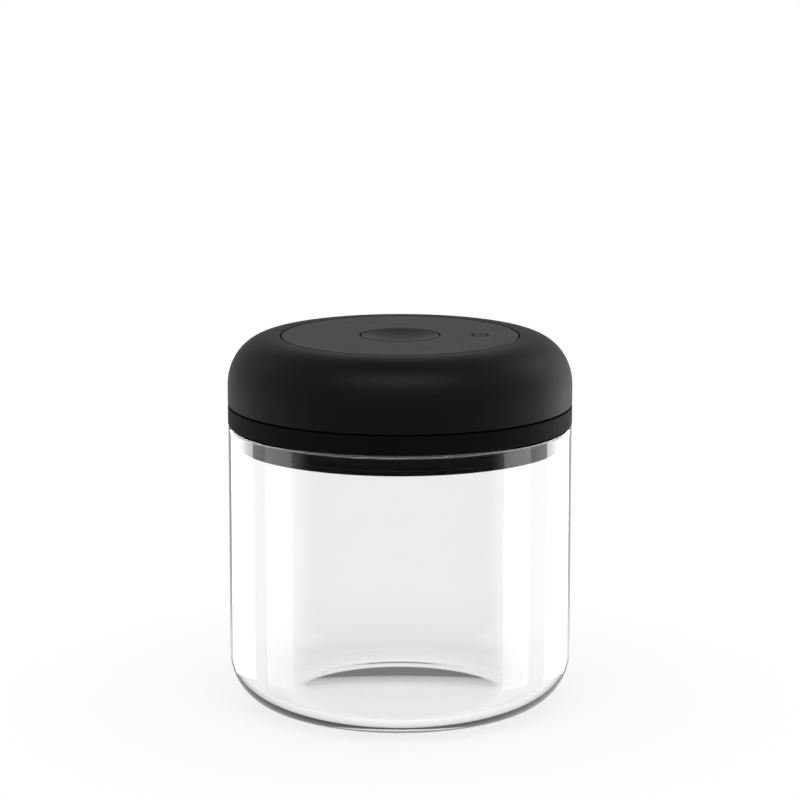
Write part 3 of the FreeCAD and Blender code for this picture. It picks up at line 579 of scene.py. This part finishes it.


# The colour is the silicone's own dark grey, darkened to near black as painted shade for the gasket, which
# sits under the lid between the plug and the glass.
def silicone():
    look = Look("silicone")
    broad = look.noise(size=0.006, detail=3)
    look.colour(broad, dark=grey(0.004), light=grey(0.006))
    look.roughness(broad, low=0.42, high=0.55)
    look.bump(look.noise(size=0.0004), height=0.000006)
    look.set(Specular_IOR_Level=0.15)
    return look.material


def white_acetal():
    look = Look("white_acetal")
    broad = look.noise(size=0.008, detail=3)
    look.colour(broad, dark=(0.78, 0.78, 0.75), light=(0.84, 0.84, 0.81))
    look.roughness(broad, low=0.3, high=0.42)
    look.bump(look.noise(size=0.0006), height=0.000004)
    look.set(Subsurface_Weight=0.15, Subsurface_Scale=0.001)
    return look.material


def pump_plastic():
    look = Look("pump_plastic")
    broad = look.noise(size=0.006, detail=3)
    look.colour(broad, dark=grey(0.39), light=grey(0.45))
    look.roughness(broad, low=0.35, high=0.5)
    look.bump(look.noise(size=0.0003), height=0.000006)
    return look.material


def drawn_steel():
    look = Look("drawn_steel")
    lines = look.noise(size=0.0002, stretch=(1, 1, 0.05))
    look.colour(lines, dark=grey(0.55), light=grey(0.66))
    look.roughness(lines, low=0.2, high=0.36)
    look.bump(lines, height=0.000003)
    look.set(Metallic=1.0)
    return look.material


def felt():
    look = Look("filter_felt")
    fibres = look.noise(size=0.0003, detail=4, stretch=(1, 0.3, 1))
    look.colour(fibres, dark=(0.7, 0.69, 0.65), light=(0.84, 0.83, 0.79))
    look.roughness(fibres, low=0.85, high=1.0)
    look.bump(fibres, height=0.0002)
    look.bump(look.cells(size=0.0006), height=0.0001)
    look.set(Sheen_Weight=0.3)
    return look.material


def finish_nodes(looks):
    """Gives each CAD node the material of its slot in the record."""
    for part in frame["record"]["subparts"]:
        node = frame["nodes"][part["node"]]
        node.data.materials.clear()
        node.data.materials.append(looks[part["material_slot"]])


# Stage


def camera():
    data = bpy.data.cameras.new("camera")
    data.lens = CAMERA_LENS
    made = bpy.data.objects.new("camera", data)
    made.location = (0, -CAMERA_DISTANCE, CAMERA_HEIGHT)
    made.rotation_euler = (math.pi / 2 - CAMERA_PITCH, 0, 0)
    bpy.context.scene.collection.objects.link(made)
    bpy.context.scene.camera = made


def softbox(name, place, target, width, height, watts, only=None):
    """Rectangular lamp that is seen in reflections. It lights everything, or only one piece."""
    data = bpy.data.lights.new(name, "AREA")
    data.shape = "RECTANGLE"
    data.size = width
    data.size_y = height
    data.energy = watts
    lamp = bpy.data.objects.new(name, data)
    lamp.location = place
    lamp.rotation_euler = (Vector(target) - Vector(place)).to_track_quat("-Z", "Y").to_euler()
    lamp.visible_camera = False
    lamp.visible_transmission = False
    bpy.context.scene.collection.objects.link(lamp)
    if only is not None:
        receivers = bpy.data.collections.new(name + "_receivers")
        receivers.objects.link(only)
        lamp.light_linking.receiver_collection = receivers


def side_box(name, x, y, width, watts, aim_y=0, only=None):
    """Upright soft box that faces the canister's axis, or a line in front of it."""
    softbox(name, (x, y, BOX_MIDDLE), (0, aim_y, BOX_MIDDLE), width, BOX_HEIGHT, watts, only)


def lamps(jar):
    """Soft boxes. The strips and the glows light only the glass, as lamps that are flagged off the lid."""
    side_box("left_box", x=-0.6, y=0.45, width=0.36, watts=0.2)
    side_box("right_box", x=0.6, y=0.45, width=0.4, watts=1.2)
    softbox("top_box", place=(0, -0.45, 0.97), target=(0, 0, 0.1), width=0.9, height=0.25, watts=3.2)
    side_box("left_strip", x=-0.75, y=-0.06, width=0.32, watts=1.25, aim_y=-0.06, only=jar)
    side_box("right_strip", x=0.75, y=-0.11, width=0.315, watts=1.66, aim_y=-0.11, only=jar)
    side_box("left_glow", x=-0.59, y=0.54, width=0.6, watts=6.5, only=jar)
    side_box("right_glow", x=0.59, y=0.54, width=0.6, watts=6.5, only=jar)
    softbox("sky_glow", place=(0, 0, 0.6), target=(0, 0, 0), width=2.0, height=2.0, watts=36, only=jar)


def world():
    """White surroundings. Reflections find the front and the ceiling dark, as in a studio."""
    made = bpy.data.worlds.new("studio")
    bpy.context.scene.world = made
    tree = Tree(made)
    path = tree.nodes.new("ShaderNodeLightPath").outputs
    axes = tree.nodes.new("ShaderNodeSeparateXYZ")
    tree.feed(axes.inputs["Vector"], tree.nodes.new("ShaderNodeTexCoord").outputs["Generated"])
    walls = tree.spread(axes.outputs["Y"], *FRONT_EDGE, DARK, WHITE, "SMOOTHSTEP")
    ceiling = tree.spread(axes.outputs["Z"], *CEILING_EDGE, WHITE, DARK, "SMOOTHSTEP")
    backdrop = tree.spread(axes.outputs["Z"], *BACKDROP_EDGE, WHITE, BACKDROP_LEVEL, "SMOOTHSTEP")
    sides = tree.spread(axes.outputs["X"], *SIDE_EDGE, LEFT_LEVEL, WHITE, "SMOOTHSTEP")
    studio = tree.sum("MULTIPLY", walls, ceiling)
    mirrored = tree.sum("MULTIPLY", studio, tree.sum("MULTIPLY", backdrop, sides))
    straight = tree.sum("LESS_THAN", path["Glossy Depth"], BOUNCED)
    seen = tree.sum("MULTIPLY", straight, path["Is Transmission Ray"])
    level = tree.mix(path["Is Glossy Ray"], AMBIENT, mirrored)
    ground = tree.spread(axes.outputs["Z"], *FLOOR_EDGE, WHITE, GLASS_DARK, "SMOOTHSTEP")
    level = tree.mix(path["Is Transmission Ray"], level, tree.sum("MAXIMUM", studio, ground))
    level = tree.mix(tree.sum("MAXIMUM", path["Is Camera Ray"], seen), level, WHITE)
    background = tree.nodes["Background"]
    background.inputs["Color"].default_value = (1, 1, 1, 1)
    tree.feed(background.inputs["Strength"], level)


def floor():
    """White sweep that takes the shadow near the canister and fades to plain white further out.

    Reflections and views from below go through it.
    """
    shape = bmesh.new()
    bmesh.ops.create_circle(shape, cap_ends=True, segments=TURN_STEPS, radius=FLOOR_RADIUS)
    mesh = bpy.data.meshes.new("floor")
    shape.to_mesh(mesh)
    shape.free()
    made = bpy.data.objects.new("floor", mesh)
    bpy.context.scene.collection.objects.link(made)
    look = Look("white_sweep")
    look.set(Base_Color=(*grey(FLOOR_WHITE), 1), Roughness=1, Specular_IOR_Level=0)
    distance = look.nodes.new("ShaderNodeVectorMath")
    distance.operation = "LENGTH"
    look.feed(distance.inputs[0], look.place)
    fade = look.spread(distance.outputs["Value"], *FLOOR_FADE, *FLOOR_GLOW, "SMOOTHSTEP")
    glow = look.nodes.new("ShaderNodeEmission").outputs["Emission"]
    sweep = look.mix_shaders(fade, look.shader.outputs["BSDF"], glow)
    path = look.nodes.new("ShaderNodeLightPath").outputs
    mirrored = look.sum("GREATER_THAN", path["Glossy Depth"], BOUNCED)
    below = look.nodes.new("ShaderNodeNewGeometry").outputs["Backfacing"]
    clear = look.nodes.new("ShaderNodeBsdfTransparent").outputs["BSDF"]
    shown = look.mix_shaders(look.sum("MAXIMUM", mirrored, below), sweep, clear)
    look.feed(look.nodes["Material Output"].inputs["Surface"], shown)
    mesh.materials.append(look.material)


looks = {
    "clear_glass": clear_glass(),
    "cap_plastic": cap_plastic(),
    "disc_plastic": disc_plastic("disc_plastic"),
    "base_plastic": base_plastic(),
    "button_plastic": disc_plastic("button_plastic"),
    "silicone": silicone(),
    "white_acetal": white_acetal(),
    "pump_plastic": pump_plastic(),
    "steel": drawn_steel(),
    "filter_felt": felt(),
}
finish_nodes(looks)
jar = glass_jar(looks["clear_glass"])
jar_gasket(looks["silicone"])
vent_seal(looks["silicone"])
for end in ("front", "rear"):
    piston_seal(end, looks["silicone"])
diaphragm(looks["silicone"])
valves(looks["silicone"])
coil_spring("button_coil", "button_spring", BUTTON_WIRE, looks["steel"])
coil_spring("indicator_coil", "indicator_spring", INDICATOR_WIRE, looks["steel"])

camera()
world()
floor()
lamps(jar)
bpy.context.scene.view_settings.view_transform = "Standard"
